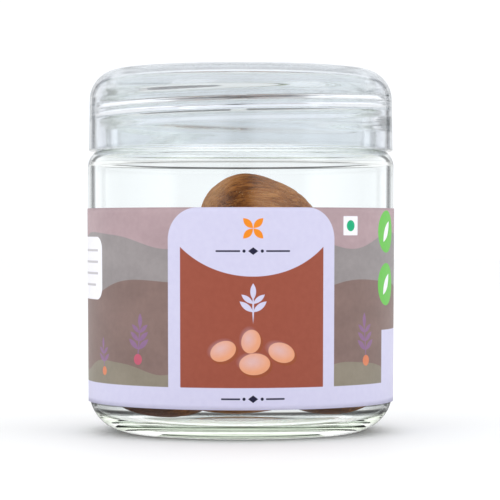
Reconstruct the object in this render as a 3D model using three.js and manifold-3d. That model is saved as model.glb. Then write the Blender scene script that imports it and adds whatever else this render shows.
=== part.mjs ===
// A shut clear jar of whole nutmegs: a glass jar with a low domed base, a clear screw lid, a label
// wrapped round the wall, and eight loose nutmegs heaped inside.
// Millimetres, +Z up. The origin is on the jar's axis, in the plane that it stands on, and -Y is the
// front, where the middle of the label is.

import * as THREE from 'three';
import { mergeVertices } from 'three/addons/utils/BufferGeometryUtils.js';
import Module from 'manifold-3d';

const wasm = await Module();
wasm.setup();

// Driving dimensions of the glass
const jarRadius = 29.95; // outside, where the shoulder starts
const wallDraft = 0.25; // the wall is this much narrower at the heel
const wall = 1.3; // thickness of the straight wall
const heelRadius = 7.75; // rounding between base and wall
const floorZ = 2.2; // height of the inside floor next to its rounding
const floorRise = 0.8; // and how much higher it is in the middle
const innerHeelRadius = 4.3;
const puntEdge = 19.5; // the base is pushed up inside this radius, and stands on the ring outside it
const puntHeight = 0.6;
const shoulderZ = 51.6; // where the straight wall ends
const shoulderRadius = 3.7;
const innerShoulderZ = 51.9;
const innerShoulderRadius = 2.1;
const neckRadius = 26.6; // outside of the neck, between its threads
const mouthRadius = 24.4; // bore of the neck
const mouthFillet = 1.1; // where the bore opens into the jar
const rimZ = 68.9;

// Screw threads of neck and lid
const pitch = 4.2;
const threadDepth = 1.1;
const threadRootWidth = 2.6;
const threadCrestWidth = 0.6;
const threadBury = 0.5; // how far a thread's root is sunk in its wall
const threadStepsPerTurn = 28;
const threadRunOut = 0.35; // turns over which a thread fades at each end
const threadStub = 0.02; // keeps its very end from shrinking to nothing
const neckThread = { z: 61, firstTurn: -0.75, lastTurn: 1.2 }; // z is its height at the front
const lidThread = { z: neckThread.z + pitch / 2, firstTurn: -0.95, lastTurn: 0.7 };

// Lid
const lidBottomZ = 54.7;
const lidTopZ = 70.7;
const lidRadius = 29.75; // outside, at its lower edge
const lidDraft = 0.15;
const lidWall = 1.35;
const lidTopThickness = 1.5;
const lidCornerRadius = 6;
const lidInnerCornerRadius = 3.6;
const lidLip = 0.3; // rounding of the lower edge

// Label
const labelBottomZ = 6;
const labelTopZ = 43.5;
const labelThickness = 0.12;
const labelGap = 0.05; // the adhesive between glass and film
const labelSeam = THREE.MathUtils.degToRad(8); // bare glass at the back, between the label's ends

// Facets
const roundSegments = 56;
const arcStep = THREE.MathUtils.degToRad(18);
const domeSteps = 3;
const nutmegSegments = { around: 20, along: 12 };

// Each nutmeg: its middle, the way that its blunt end points (heading round Z from +X, and rise
// above level, in degrees), its turn about its own length, and half its length and half its width.
const heap = [
  { name: 'nutmeg_floor_left', at: [-14.5, -11.1, 12.9], heading: 135, rise: 1, roll: 40, half: [13, 10.3] },
  { name: 'nutmeg_floor_right', at: [17.6, 4.1, 13], heading: -73, rise: 0, roll: 201, half: [12.9, 10.4] },
  { name: 'nutmeg_floor_back', at: [-0.3, 17.5, 13.3], heading: 205, rise: -2, roll: 110, half: [13, 10.4] },
  { name: 'nutmeg_centre', at: [1.4, -3.1, 23.1], heading: -67, rise: 0, roll: 299, half: [13.1, 11.1] },
  { name: 'nutmeg_left', at: [-15.8, -9.5, 32.5], heading: 114, rise: -4, roll: 75, half: [12.8, 10.2] },
  { name: 'nutmeg_back_left', at: [-13.8, 12, 29.1], heading: 23, rise: 54, roll: 251, half: [13.2, 10.2] },
  { name: 'nutmeg_back', at: [9.6, 15, 30.4], heading: -20, rise: -17, roll: 159, half: [13.2, 10.3] },
  { name: 'nutmeg_top', at: [4, -17.2, 39.2], heading: 159, rise: 28, roll: 20, half: [13, 10] },
];
const nutmegTaper = 0.09; // how much slimmer the pointed end is
const nutmegRibs = 5; // broad low ribs that run from end to end
const nutmegRibDepth = 0.03; // as a share of the width
const nutmegRibTwist = 0.6; // radians that a rib wanders on its way

const finish = {
  glass: { color: 0xe9f3f0, roughness: 0.03, metalness: 0, transparent: true, opacity: 0.3 },
  lid: { color: 0xe6eaee, roughness: 0.08, metalness: 0, transparent: true, opacity: 0.35 },
  label: { color: 0xd9d8f0, roughness: 0.45, metalness: 0 },
  nutmeg: { color: 0x8a5a30, roughness: 0.75, metalness: 0 },
};

const model = new THREE.Group();

function addMesh(name, geometry, look) {
  const mesh = new THREE.Mesh(geometry, new THREE.MeshStandardMaterial(look));
  mesh.name = name;
  model.add(mesh);
  return mesh;
}

// The points of an arc about (r, z) in a lathe's profile, both ends included. Angles are in quarter
// turns: 0 points away from the axis and 1 points up.
function arc(r, z, radius, startQuarter, endQuarter) {
  const start = startQuarter * Math.PI / 2;
  const sweep = (endQuarter - startQuarter) * Math.PI / 2;
  const steps = Math.max(2, Math.round(Math.abs(sweep) / arcStep));
  return Array.from({ length: steps + 1 }, (_, i) => {
    const angle = start + sweep * i / steps;
    return new THREE.Vector2(r + radius * Math.cos(angle), z + radius * Math.sin(angle));
  });
}

function point(r, z) {
  return new THREE.Vector2(r, z);
}

// The points of a low dome's profile, both ends included: level at each end, with half a cosine wave
// between them.
function dome(startR, startZ, endR, endZ) {
  return Array.from({ length: domeSteps + 1 }, (_, i) => {
    const share = i / domeSteps;
    const risen = 0.5 - 0.5 * Math.cos(Math.PI * share);
    return point(startR + (endR - startR) * share, startZ + (endZ - startZ) * risen);
  });
}

// Turns a profile of (r, z) points about the Z axis. The profile starts and ends on the axis.
function turned(profile) {
  return new THREE.LatheGeometry(profile, roundSegments).rotateX(Math.PI / 2);
}

// Only the positions of a geometry, with its shared vertices merged.
function bare(geometry) {
  const copy = geometry.clone();
  copy.deleteAttribute('normal');
  copy.deleteAttribute('uv');
  return mergeVertices(copy, 1e-5);
}

function toSolid(geometry) {
  const merged = bare(geometry);
  const vertProperties = Float32Array.from(merged.attributes.position.array);
  const triVerts = Uint32Array.from(merged.index.array);
  return new wasm.Manifold(new wasm.Mesh({ numProp: 3, vertProperties, triVerts }));
}

function toGeometry(solid) {
  const mesh = solid.getMesh();
  const geometry = new THREE.BufferGeometry();
  geometry.setAttribute('position', new THREE.BufferAttribute(mesh.vertProperties, 3));
  geometry.setIndex(new THREE.BufferAttribute(mesh.triVerts, 1));
  geometry.computeVertexNormals();
  return geometry;
}

// Bends a prism round the Z axis. Its x is the height, its y the distance from the axis, and its z
// the angle, counted from the front in the sense of a right-hand screw about +Z.
function bentRound(prism, move) {
  const position = prism.attributes.position;
  for (let i = 0; i < position.count; i += 1) {
    const angle = position.getZ(i);
    const [z, r] = move(position.getX(i), position.getY(i), angle);
    position.setXYZ(i, r * Math.sin(angle), -r * Math.cos(angle), z);
  }
  return prism;
}

// A trapezoid bead that climbs round the axis. root and crest are distances from the axis, and the
// bead sinks back into its wall at both ends.
function screwThread({ z, firstTurn, lastTurn }, root, crest) {
  const outward = Math.sign(crest - root);
  const buried = root - outward * threadBury;
  const section = new THREE.Shape([
    point(-threadRootWidth / 2, buried),
    point(-threadCrestWidth / 2, crest),
    point(threadCrestWidth / 2, crest),
    point(threadRootWidth / 2, buried),
  ]);
  const turns = lastTurn - firstTurn;
  const steps = Math.round(turns * threadStepsPerTurn);
  const depth = turns * 2 * Math.PI;
  const prism = new THREE.ExtrudeGeometry(section, { depth, steps, bevelEnabled: false });
  prism.translate(0, 0, firstTurn * 2 * Math.PI);
  return bentRound(prism, (height, r, angle) => {
    const turn = angle / (2 * Math.PI);
    const toEnd = Math.min(turn - firstTurn, lastTurn - turn);
    const strength = THREE.MathUtils.smoothstep(toEnd, -threadStub, threadRunOut);
    return [z + height + pitch * turn, buried + (r - buried) * strength];
  });
}

// The glass jar: a pushed-up base in a standing ring, a round heel, a wall with a little draft, a
// round shoulder and a neck with a right-hand thread and a round rim.
function jarSolid() {
  const heelR = jarRadius - wallDraft - heelRadius;
  const lip = (neckRadius - mouthRadius) / 2;
  const shoulderR = jarRadius - shoulderRadius;
  const shoulderEnd = Math.acos((neckRadius - shoulderR) / shoulderRadius) / (Math.PI / 2);
  const innerR = jarRadius - wall;
  const innerHeelR = innerR - wallDraft - innerHeelRadius;
  const ceilingZ = innerShoulderZ + innerShoulderRadius;
  const profile = [
    ...dome(0, puntHeight, puntEdge, 0),
    ...arc(heelR, heelRadius, heelRadius, -1, 0),
    ...arc(shoulderR, shoulderZ, shoulderRadius, 0, shoulderEnd),
    ...arc(mouthRadius + lip, rimZ - lip, lip, 0, 2),
    ...arc(mouthRadius + mouthFillet, ceilingZ + mouthFillet, mouthFillet, 2, 3),
    ...arc(innerR - innerShoulderRadius, innerShoulderZ, innerShoulderRadius, 1, 0),
    ...arc(innerHeelR, floorZ + innerHeelRadius, innerHeelRadius, 0, -1),
    ...dome(innerHeelR, floorZ, 0, floorZ + floorRise).slice(1),
  ];
  const thread = screwThread(neckThread, neckRadius, neckRadius + threadDepth);
  return toSolid(turned(profile)).add(toSolid(thread));
}

// The lid: a thin cap with a round top edge and the thread that takes the neck's.
function lidSolid() {
  const innerR = lidRadius - lidWall;
  const innerTopZ = lidTopZ - lidTopThickness;
  const profile = [
    point(0, innerTopZ),
    ...arc(innerR - lidInnerCornerRadius, innerTopZ - lidInnerCornerRadius, lidInnerCornerRadius, 1, 0),
    ...arc(innerR + lidLip, lidBottomZ + lidLip, lidLip, 2, 3),
    ...arc(lidRadius - lidLip, lidBottomZ + lidLip, lidLip, 3, 4),
    ...arc(lidRadius - lidDraft - lidCornerRadius, lidTopZ - lidCornerRadius, lidCornerRadius, 0, 1),
    point(0, lidTopZ),
  ];
  const thread = screwThread(lidThread, innerR, innerR - threadDepth);
  return toSolid(turned(profile)).add(toSolid(thread));
}

// The label: a film as high as the straight wall allows, wrapped from seam to seam along its draft.
function labelGeometry() {
  const section = new THREE.Shape([
    point(labelBottomZ, 0),
    point(labelBottomZ, labelThickness),
    point(labelTopZ, labelThickness),
    point(labelTopZ, 0),
  ]);
  const depth = 2 * Math.PI - labelSeam;
  const prism = new THREE.ExtrudeGeometry(section, { depth, steps: roundSegments, bevelEnabled: false });
  prism.translate(0, 0, -depth / 2);
  return bentRound(prism, (z, proud) => {
    const fromShoulder = (shoulderZ - z) / (shoulderZ - heelRadius);
    return [z, jarRadius - wallDraft * fromShoulder + labelGap + proud];
  });
}

// A nutmeg along X, blunt end at +X: an ovoid, slimmer towards the other end, with low ribs.
function nutmegGeometry([halfLength, halfWidth]) {
  const { around, along } = nutmegSegments;
  const egg = bare(new THREE.SphereGeometry(1, around, along).rotateZ(-Math.PI / 2));
  const position = egg.attributes.position;
  for (let i = 0; i < position.count; i += 1) {
    const x = position.getX(i);
    const y = position.getY(i);
    const z = position.getZ(i);
    const turn = Math.atan2(z, y);
    const ribs = 0.5 - 0.5 * Math.cos(nutmegRibs * turn + nutmegRibTwist * x);
    const girth = 1 - nutmegTaper * (1 - x) / 2 - nutmegRibDepth * ribs;
    position.setXYZ(i, halfLength * x, halfWidth * girth * y, halfWidth * girth * z);
  }
  egg.computeVertexNormals();
  return egg;
}

addMesh('glass_jar', toGeometry(jarSolid()), finish.glass);
addMesh('jar_lid', toGeometry(lidSolid()), finish.lid);
addMesh('wrap_label', labelGeometry(), finish.label);
for (const { name, at, heading, rise, roll, half } of heap) {
  const nutmeg = addMesh(name, nutmegGeometry(half), finish.nutmeg);
  const [turn, tip, spin] = [heading, -rise, roll].map(THREE.MathUtils.degToRad);
  nutmeg.position.set(...at);
  nutmeg.rotation.set(spin, tip, turn, 'ZYX');
}

export default model;
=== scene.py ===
"""A shut clear jar of whole nutmegs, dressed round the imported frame.

The sizes of the classes are in millimetres, as on the part's own drawing, and meshes are made in
metres. +Z is up, the jar's axis is the Z axis, it stands on z = 0, and -Y is the front. An angle
round the axis is counted from the front in the sense of a right-hand screw, so +X is at 90 degrees.
"""

import logging
import math
from dataclasses import dataclass, field
from enum import Enum
from typing import Any, Callable, Sequence, Union

import bpy
import numpy as np
from mathutils import Euler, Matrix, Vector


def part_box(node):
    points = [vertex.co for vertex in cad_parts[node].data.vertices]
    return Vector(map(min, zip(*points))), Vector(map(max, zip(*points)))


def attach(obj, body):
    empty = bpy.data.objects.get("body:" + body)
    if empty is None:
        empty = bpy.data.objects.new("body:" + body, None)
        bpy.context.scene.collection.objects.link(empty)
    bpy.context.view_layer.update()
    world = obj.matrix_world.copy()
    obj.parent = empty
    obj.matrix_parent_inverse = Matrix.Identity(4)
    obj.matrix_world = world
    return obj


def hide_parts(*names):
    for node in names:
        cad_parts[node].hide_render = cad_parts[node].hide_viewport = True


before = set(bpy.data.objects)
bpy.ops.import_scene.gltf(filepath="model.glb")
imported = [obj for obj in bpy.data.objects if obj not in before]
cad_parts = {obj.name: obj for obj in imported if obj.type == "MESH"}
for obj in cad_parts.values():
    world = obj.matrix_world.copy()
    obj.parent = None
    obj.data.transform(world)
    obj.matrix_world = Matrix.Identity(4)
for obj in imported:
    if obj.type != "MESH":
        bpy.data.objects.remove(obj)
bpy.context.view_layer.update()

log = logging.getLogger("jar_of_nutmeg")

MM = 0.001
TURN = 2 * math.pi
BODY = "root"

Pair = tuple[float, float]
Triple = tuple[float, float, float]
Socket = bpy.types.NodeSocket
Value = Union["Signal", Socket, bpy.types.Node, float, Sequence[float]]


class Slot(Enum):
    """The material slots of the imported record."""

    JAR_GLASS = "jar_glass"
    LID_PLASTIC = "lid_plastic"
    LABEL_FILM = "label_film"
    NUTMEG_SEED = "nutmeg_seed"


# ---- Numbers and meshes ----


def smooth(values: np.ndarray, low: float, high: float) -> np.ndarray:
    """Rises from 0 at low to 1 at high along 3t^2 - 2t^3, and is level outside.

    Args:
        values: The numbers to judge.
        low: Where the rise starts.
        high: Where it ends. It may be under low, which turns the rise round.

    Returns:
        The rise at each value, from 0 to 1.
    """
    share = np.clip((values - low) / (high - low), 0.0, 1.0)
    return share * share * (3.0 - 2.0 * share)


def linear(red: int, green: int, blue: int) -> Triple:
    """The linear colour of an 8-bit display colour.

    A share s of 255 gives s / 12.92 up to 0.04045, and ((s + 0.055) / 1.055)^2.4 above it.

    Args:
        red: From 0 to 255, as the others.
        green: The green.
        blue: The blue.

    Returns:
        The three linear values.
    """
    shares = np.array([red, green, blue]) / 255.0
    low, high = shares / 12.92, ((shares + 0.055) / 1.055) ** 2.4
    return tuple(float(c) for c in np.where(shares <= 0.04045, low, high))


@dataclass
class Outline:
    """A profile of (distance from the axis, height) points, grown stretch by stretch."""

    step: float = 2.0
    stretches: list[np.ndarray] = field(default_factory=list)

    def at(self, r: float, z: float) -> "Outline":
        """Adds one point."""
        self.stretches.append(np.array([[r, z]]))
        return self

    def line(self, r: float, z: float, step: float | None = None, eased: bool = False) -> "Outline":
        """Adds a stretch from the last point.

        Args:
            r: Distance of its end from the axis.
            z: Height of its end.
            step: Greatest distance between its points, or the outline's own.
            eased: Whether its height follows half a cosine wave, not a straight line.

        Returns:
            This outline.
        """
        start, end = self.stretches[-1][-1], np.array([r, z])
        count = max(1, math.ceil(float(np.hypot(*(end - start))) / (step or self.step)))
        share = np.linspace(0.0, 1.0, count + 1)[1:, None]
        rise = 0.5 - 0.5 * np.cos(math.pi * share) if eased else share
        self.stretches.append(start + (end - start) * np.concatenate([share, rise], axis=1))
        return self

    def arc(self, r: float, z: float, radius: float, start: float, end: float,
            step: float | None = None) -> "Outline":
        """Adds an arc, both ends included.

        Args:
            r: Distance of its centre from the axis.
            z: Height of its centre.
            radius: Its radius.
            start: Where it starts, in quarter turns: 0 points outwards and 1 points up.
            end: Where it ends.
            step: Greatest distance between its points, or the outline's own.

        Returns:
            This outline.
        """
        length = abs(end - start) * math.pi / 2 * radius
        count = max(6, math.ceil(length / (step or self.step)))
        angle = np.linspace(start, end, count + 1) * math.pi / 2
        self.stretches.append(np.stack([r + radius * np.cos(angle), z + radius * np.sin(angle)], 1))
        return self

    def points(self) -> np.ndarray:
        """The whole profile, without points that repeat the one before."""
        every = np.concatenate(self.stretches)
        return every[np.append(True, np.hypot(*np.diff(every, axis=0).T) > 1e-4)]


def around(r: np.ndarray, z: np.ndarray, angle: np.ndarray) -> np.ndarray:
    """Points at distance r from the axis, height z and an angle round it: (r sin, -r cos, z)."""
    r, z, angle = np.broadcast_arrays(r, z, angle)
    return np.stack([r * np.sin(angle), -r * np.cos(angle), z], axis=-1)


def quads(rows: int, columns: int) -> np.ndarray:
    """The faces of a grid of points whose columns close on themselves.

    Args:
        rows: Number of rows.
        columns: Number of points in a row.

    Returns:
        Four point numbers for each face.
    """
    low = np.arange(rows - 1)[:, None] * columns
    j = np.arange(columns)[None, :]
    following = (j + 1) % columns
    corners = np.broadcast_arrays(low + j, low + following, low + columns + following, low + columns + j)
    return np.stack(corners, axis=-1).reshape(-1, 4)


def ring_points(grid: np.ndarray) -> np.ndarray:
    """The points of a grid of rings, row by row, with the first and last ring as one point each."""
    return np.concatenate([grid[0, :1], grid[1:-1].reshape(-1, 3), grid[-1, :1]])


def add_object(name: str, data: bpy.types.ID) -> bpy.types.Object:
    """Makes an object in the scene.

    Args:
        name: Its name.
        data: Its mesh, lamp or camera.

    Returns:
        The object.
    """
    made = bpy.data.objects.new(name, data)
    bpy.context.scene.collection.objects.link(made)
    return made


def make_piece(name: str, points: np.ndarray, faces: list[np.ndarray]) -> bpy.types.Object:
    """Makes a smooth object of points and faces, and turns every face outwards.

    The sum over the faces of corner . (corner x corner) is six times the volume, so a negative
    one means that the faces all point inwards.

    Args:
        name: The object's name.
        points: Its points in millimetres, one a row.
        faces: Arrays of point numbers, one face a row.

    Returns:
        The object.
    """
    volume = 0.0
    for corners in (points[f] for f in faces):
        for k in range(1, corners.shape[1] - 1):
            volume += float((corners[:, 0] * np.cross(corners[:, k], corners[:, k + 1])).sum())
    turned = faces if volume > 0 else [f[:, ::-1] for f in faces]
    mesh = bpy.data.meshes.new(name)
    mesh.from_pydata((points * MM).tolist(), [], [face for f in turned for face in f.tolist()])
    mesh.polygons.foreach_set("use_smooth", np.ones(len(mesh.polygons), dtype=bool))
    mesh.update()
    return add_object(name, mesh)


def turned_piece(name: str, grid: np.ndarray) -> bpy.types.Object:
    """Closes a grid of rings, whose first and last ring are single points on the axis.

    Args:
        name: The object's name.
        grid: Rings by points by 3. Only the first point of the first and of the last ring is used.

    Returns:
        The closed object: a point at each end, a fan of triangles round it, and quads between.
    """
    rings, columns = len(grid) - 2, grid.shape[1]
    j = np.arange(columns)
    following = (j + 1) % columns
    last_ring = 1 + (rings - 1) * columns
    first_fan = np.stack([np.zeros_like(j), 1 + following, 1 + j], axis=1)
    last_fan = np.stack([np.full_like(j, last_ring + columns), last_ring + j, last_ring + following], axis=1)
    return make_piece(name, ring_points(grid), [quads(rings, columns) + 1, first_fan, last_fan])


@dataclass(frozen=True)
class Room:
    """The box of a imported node, in millimetres, for a node that is round about the Z axis."""

    bottom: float
    top: float
    radius: float

    @classmethod
    def of(cls, node: str) -> "Room":
        """Reads the box of one node of the frame."""
        low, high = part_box(node)
        return cls(low.z / MM, high.z / MM, (high.x - low.x) / 2 / MM)


# ---- Materials ----


class Tree:
    """A node tree and the one way in which nodes are added to it."""

    def __init__(self, nodes: bpy.types.NodeTree) -> None:
        """Empties a node tree and takes it over."""
        self.nodes = nodes
        nodes.nodes.clear()

    def node(self, kind: str, settings: dict[str, Any] | None = None,
             inputs: dict[int | str, Value] | None = None) -> bpy.types.Node:
        """Adds a node.

        Args:
            kind: Its type, without the leading ShaderNode.
            settings: Its own settings. A ramp's stops are under "stops", as (place, colour) pairs.
            inputs: A value or a link for each socket, by name or number. A node stands for its
                first output.

        Returns:
            The node.
        """
        made = self.nodes.nodes.new("ShaderNode" + kind)
        for name, value in (settings or {}).items():
            if name == "stops":
                self._set_stops(made.color_ramp, value)
            else:
                setattr(made, name, value)
        for name, value in (inputs or {}).items():
            source = value.socket if isinstance(value, Signal) else value
            source = source.outputs[0] if isinstance(source, bpy.types.Node) else source
            if isinstance(source, Socket):
                self.nodes.links.new(source, made.inputs[name])
            else:
                made.inputs[name].default_value = source
        return made

    @staticmethod
    def _set_stops(ramp: bpy.types.ColorRamp, stops: Sequence[tuple[float, Triple]]) -> None:
        """Gives a ramp its stops.

        Args:
            ramp: The ramp.
            stops: A place from 0 to 1 and a colour for each, in order.
        """
        while len(ramp.elements) < len(stops):
            ramp.elements.new(1.0)
        for element, (place, colour) in zip(ramp.elements, stops):
            element.position, element.color = place, (*colour, 1.0)

    def number(self, kind: str, settings: dict[str, Any], inputs: dict[int | str, Value]) -> "Signal":
        """Adds a node whose first output is a number, and takes that."""
        return Signal(self, self.node(kind, settings, inputs).outputs[0])

    def math(self, operation: str, *values: Value, clamp: bool = False) -> "Signal":
        """Adds a Math node on one, two or three values."""
        settings = {"operation": operation, "use_clamp": clamp}
        return self.number("Math", settings, dict(enumerate(values)))

    def mix(self, factor: Value, first: Value, second: Value, blend: str = "MIX") -> Socket:
        """Mixes two colours, each linear values or a link.

        Args:
            factor: 0 for the first colour and 1 for the second.
            first: The one.
            second: The other.
            blend: The Mix node's way of blending.

        Returns:
            The mixed colour's socket.
        """
        sides = [(*side, 1.0) if isinstance(side, tuple) else side for side in (first, second)]
        settings = {"data_type": "RGBA", "blend_type": blend}
        return self.node("Mix", settings, {0: factor, 6: sides[0], 7: sides[1]}).outputs[2]

    def place(self) -> Socket:
        """The place on the surface, in the piece's own coordinates."""
        return self.node("TexCoord").outputs["Object"]

    def stored(self, attribute: str) -> Socket:
        """A vector that the piece stores for each of its points."""
        return self.node("Attribute", {"attribute_name": attribute}).outputs["Vector"]

    def split(self, vector: Value) -> tuple["Signal", "Signal", "Signal"]:
        """The three coordinates of a vector."""
        return tuple(Signal(self, out) for out in self.node("SeparateXYZ", inputs={0: vector}).outputs)

    def noise(self, place: Socket, scale: Triple, detail: float, rough: float = 0.5) -> "Signal":
        """Soft noise about 0.5, with so many features a unit of place along each axis.

        Args:
            place: Where.
            scale: The features a unit of place, along X, Y and Z.
            detail: Number of finer layers.
            rough: How strong each of them is beside the one before.

        Returns:
            The noise.
        """
        scaled = self.node("Mapping", inputs={"Vector": place, "Scale": scale})
        inputs = {"Vector": scaled, "Scale": 1.0, "Detail": detail, "Roughness": rough}
        return self.number("TexNoise", {}, inputs)


def operator(operation: str, reflected: bool = False) -> Callable[["Signal", Value], "Signal"]:
    """Makes an operator of Signal, which adds one Math node.

    Args:
        operation: The node's operation.
        reflected: Whether the other value comes first.

    Returns:
        The operator.
    """

    def work_out(self: "Signal", other: Value) -> "Signal":
        """Works this and the other value out by one node."""
        return self.tree.math(operation, *((other, self) if reflected else (self, other)))

    return work_out


@dataclass(frozen=True)
class Signal:
    """A number that varies over a surface, with arithmetic that adds its Math nodes."""

    tree: Tree
    socket: Socket

    __add__ = __radd__ = operator("ADD")
    __sub__ = operator("SUBTRACT")
    __rsub__ = operator("SUBTRACT", reflected=True)
    __mul__ = __rmul__ = operator("MULTIPLY")
    __truediv__ = operator("DIVIDE")
    least = operator("MINIMUM")
    most = operator("MAXIMUM")

    def __abs__(self) -> "Signal":
        """The size without its sign."""
        return self.tree.math("ABSOLUTE", self)

    def root(self) -> "Signal":
        """The square root."""
        return self.tree.math("SQRT", self)

    def clamped(self) -> "Signal":
        """This kept from 0 to 1."""
        return self.tree.math("ADD", self, 0.0, clamp=True)

    def towards(self, other: Value, share: "Signal") -> "Signal":
        """This where the share is 0, the other where it is 1, and in proportion between."""
        return self + share * (other - self)

    def rise(self, low: float, high: float) -> "Signal":
        """Rises smoothly from 0 at low to 1 at high."""
        inputs = {"Value": self, "From Min": low, "From Max": high}
        return self.tree.number("MapRange", {"interpolation_type": "SMOOTHSTEP"}, inputs)


def new_material(name: str) -> tuple[bpy.types.Material, Tree]:
    """Makes a material.

    Args:
        name: Its name.

    Returns:
        The material and its tree, which is still empty.
    """
    material = bpy.data.materials.new(name)
    material.use_nodes = True
    return material, Tree(material.node_tree)


def coat(piece: bpy.types.Object, *materials: bpy.types.Material) -> None:
    """Gives a piece its materials, in the order of its faces' numbers."""
    for material in materials:
        piece.data.materials.append(material)


@dataclass(frozen=True)
class ClearFinish:
    """A clear solid: it bends light, takes a little of its colour with depth, and lets lamps through."""

    name: str
    ior: float
    roughness: float
    wall_share: Triple
    tint: Triple
    density: float
    lamp_share: Triple

    def material(self) -> bpy.types.Material:
        """Builds the material.

        Returns:
            A glass shader that is see-through to shadow rays, over an absorbing volume.
        """
        material, tree = new_material(self.name)
        body = tree.node("BsdfPrincipled", inputs={
            "Base Color": (*self.wall_share, 1.0),
            "Roughness": self.roughness,
            "IOR": self.ior,
            "Transmission Weight": 1.0,
        })
        passing = tree.node("BsdfTransparent", inputs={"Color": (*self.lamp_share, 1.0)})
        shadow = tree.node("LightPath").outputs["Is Shadow Ray"]
        both = tree.node("MixShader", inputs={0: shadow, 1: body, 2: passing})
        inside = {"Color": (*self.tint, 1.0), "Density": self.density}
        tree.node("OutputMaterial", inputs={
            "Surface": both,
            "Volume": tree.node("VolumeAbsorption", inputs=inside),
        })
        return material


# ---- The jar and its lid ----


@dataclass(frozen=True)
class ScrewThread:
    """A round-shouldered bead that climbs round a wall, fading at both ends."""

    z: float
    first_turn: float
    last_turn: float
    pitch: float = 4.2
    depth: float = 1.1
    root_width: float = 3.0
    crest_width: float = 0.3
    run_out: float = 0.35

    def relief(self, z: np.ndarray, angle: np.ndarray) -> np.ndarray:
        """How far the bead stands off its wall.

        For each turn that the thread may have at that angle, its middle is at z + pitch x turn. The
        bead is full out to half the crest's width from there, and gone at half the root's.

        Args:
            z: Heights.
            angle: Angles round the axis, from 0 to a full turn.

        Returns:
            Distances from the wall, at each height and angle.
        """
        height = np.zeros(np.broadcast_shapes(z.shape, angle.shape))
        for lap in range(math.floor(self.first_turn) - 1, math.ceil(self.last_turn) + 1):
            turn = angle / TURN + lap
            strength = smooth(np.minimum(turn - self.first_turn, self.last_turn - turn), 0.0, self.run_out)
            off = np.abs(z - (self.z + self.pitch * turn))
            height = np.maximum(height, strength * smooth(off, self.root_width / 2, self.crest_width / 2))
        return self.depth * height

    def turned(self, name: str, profile: np.ndarray, bears: np.ndarray, columns: int) -> bpy.types.Object:
        """Turns a profile about the axis and raises the bead on it.

        Args:
            name: The object's name.
            profile: Distances from the axis and heights, from axis to axis.
            bears: For each of its points, 1 where the bead stands outwards on it, -1 where it
                stands inwards and 0 elsewhere.
            columns: Number of points round the axis.

        Returns:
            The closed object.
        """
        angle = np.linspace(0.0, TURN, columns, endpoint=False)[None, :]
        r, z = profile[:, :1], profile[:, 1:]
        return turned_piece(name, around(r + bears[:, None] * self.relief(z, angle), z, angle))


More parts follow.
